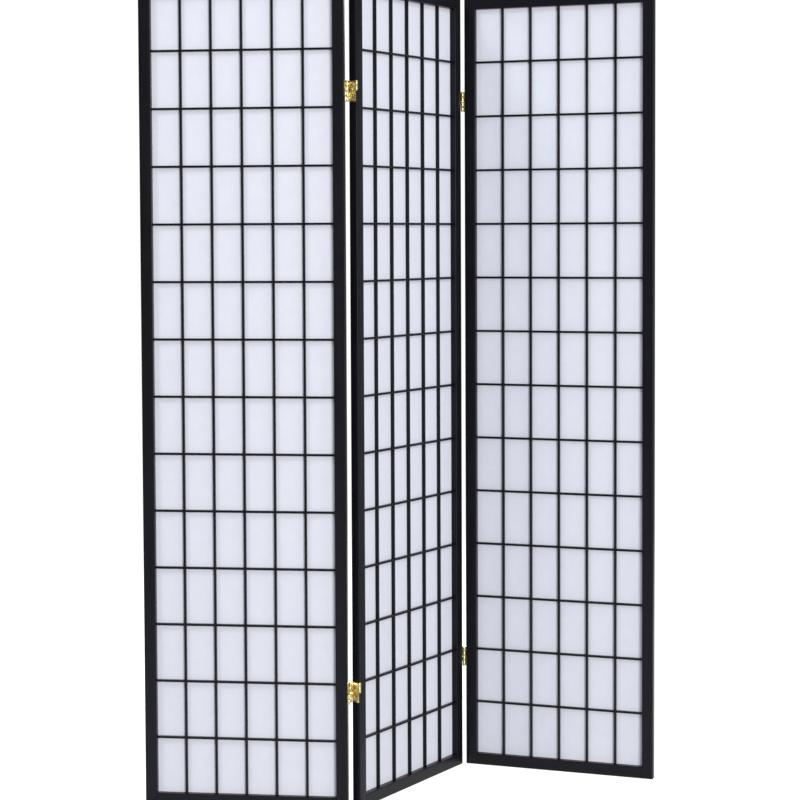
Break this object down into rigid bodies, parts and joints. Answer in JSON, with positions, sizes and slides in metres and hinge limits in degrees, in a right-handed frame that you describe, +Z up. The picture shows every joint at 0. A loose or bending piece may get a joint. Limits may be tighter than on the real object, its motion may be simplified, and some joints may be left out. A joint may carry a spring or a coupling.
{
  "type": "shoji folding screen",
  "caption": "Free-standing folding room divider: black lacquered wood panels with a fine lattice and white paper, joined by two-way brass hinges.",
  "frame": {"origin": "middle of the screen's bounding box as it stands, on the floor", "axes": "+Z up, +X to the right seen from the front, -Y towards the viewer of the pictured side"},
  "size_m": [1.1388, 0.4128, 1.778],
  "materials": {
    "black_lacquered_wood": "satin black lacquer over fine straight grain",
    "shoji_paper": "matt white paper with faint long fibres, translucent",
    "hinge_brass": "polished brass plating"
  },
  "bodies": {
    "left_panel": {"left_panel_left_stile": "black_lacquered_wood", "left_panel_right_stile": "black_lacquered_wood", "left_panel_bottom_rail": "black_lacquered_wood", "left_panel_top_rail": "black_lacquered_wood", "left_panel_upright_bar_1": "black_lacquered_wood", "left_panel_upright_bar_2": "black_lacquered_wood", "left_panel_upright_bar_3": "black_lacquered_wood", "left_panel_upright_bar_4": "black_lacquered_wood", "left_panel_upright_bar_5": "black_lacquered_wood", "left_panel_cross_bars": "black_lacquered_wood", "left_panel_paper": "shoji_paper", "left_panel_hinge_pins": "hinge_brass", "left_top_hinge_outer_leaf": "hinge_brass", "left_top_hinge_lower_link": "hinge_brass", "left_bottom_hinge_outer_leaf": "hinge_brass", "left_bottom_hinge_lower_link": "hinge_brass"},
    "middle_panel": {"middle_panel_left_stile": "black_lacquered_wood", "middle_panel_right_stile": "black_lacquered_wood", "middle_panel_bottom_rail": "black_lacquered_wood", "middle_panel_top_rail": "black_lacquered_wood", "middle_panel_upright_bar_1": "black_lacquered_wood", "middle_panel_upright_bar_2": "black_lacquered_wood", "middle_panel_upright_bar_3": "black_lacquered_wood", "middle_panel_upright_bar_4": "black_lacquered_wood", "middle_panel_upright_bar_5": "black_lacquered_wood", "middle_panel_cross_bars": "black_lacquered_wood", "middle_panel_paper": "shoji_paper", "middle_panel_hinge_pins": "hinge_brass", "left_top_hinge_middle_leaf": "hinge_brass", "left_top_hinge_upper_link": "hinge_brass", "left_bottom_hinge_middle_leaf": "hinge_brass", "left_bottom_hinge_upper_link": "hinge_brass", "right_top_hinge_middle_leaf": "hinge_brass", "right_top_hinge_upper_link": "hinge_brass", "right_bottom_hinge_middle_leaf": "hinge_brass", "right_bottom_hinge_upper_link": "hinge_brass"},
    "right_panel": {"right_panel_left_stile": "black_lacquered_wood", "right_panel_right_stile": "black_lacquered_wood", "right_panel_bottom_rail": "black_lacquered_wood", "right_panel_top_rail": "black_lacquered_wood", "right_panel_upright_bar_1": "black_lacquered_wood", "right_panel_upright_bar_2": "black_lacquered_wood", "right_panel_upright_bar_3": "black_lacquered_wood", "right_panel_upright_bar_4": "black_lacquered_wood", "right_panel_upright_bar_5": "black_lacquered_wood", "right_panel_cross_bars": "black_lacquered_wood", "right_panel_paper": "shoji_paper", "right_panel_hinge_pins": "hinge_brass", "right_top_hinge_outer_leaf": "hinge_brass", "right_top_hinge_lower_link": "hinge_brass", "right_bottom_hinge_outer_leaf": "hinge_brass", "right_bottom_hinge_lower_link": "hinge_brass"}
  },
  "joints": [
    {"name": "left_panel_fold", "type": "hinge", "parent": "middle_panel", "child": "left_panel", "pos_m": [-0.12422, -0.17995, 0.889], "axis": [0, 0, 1], "range_deg": [-114.5, 65.5]},
    {"name": "right_panel_fold", "type": "hinge", "parent": "middle_panel", "child": "right_panel", "pos_m": [0.14781, 0.18141, 0.889], "axis": [0, 0, 1], "range_deg": [-101.5, 78.5]}
  ]
}
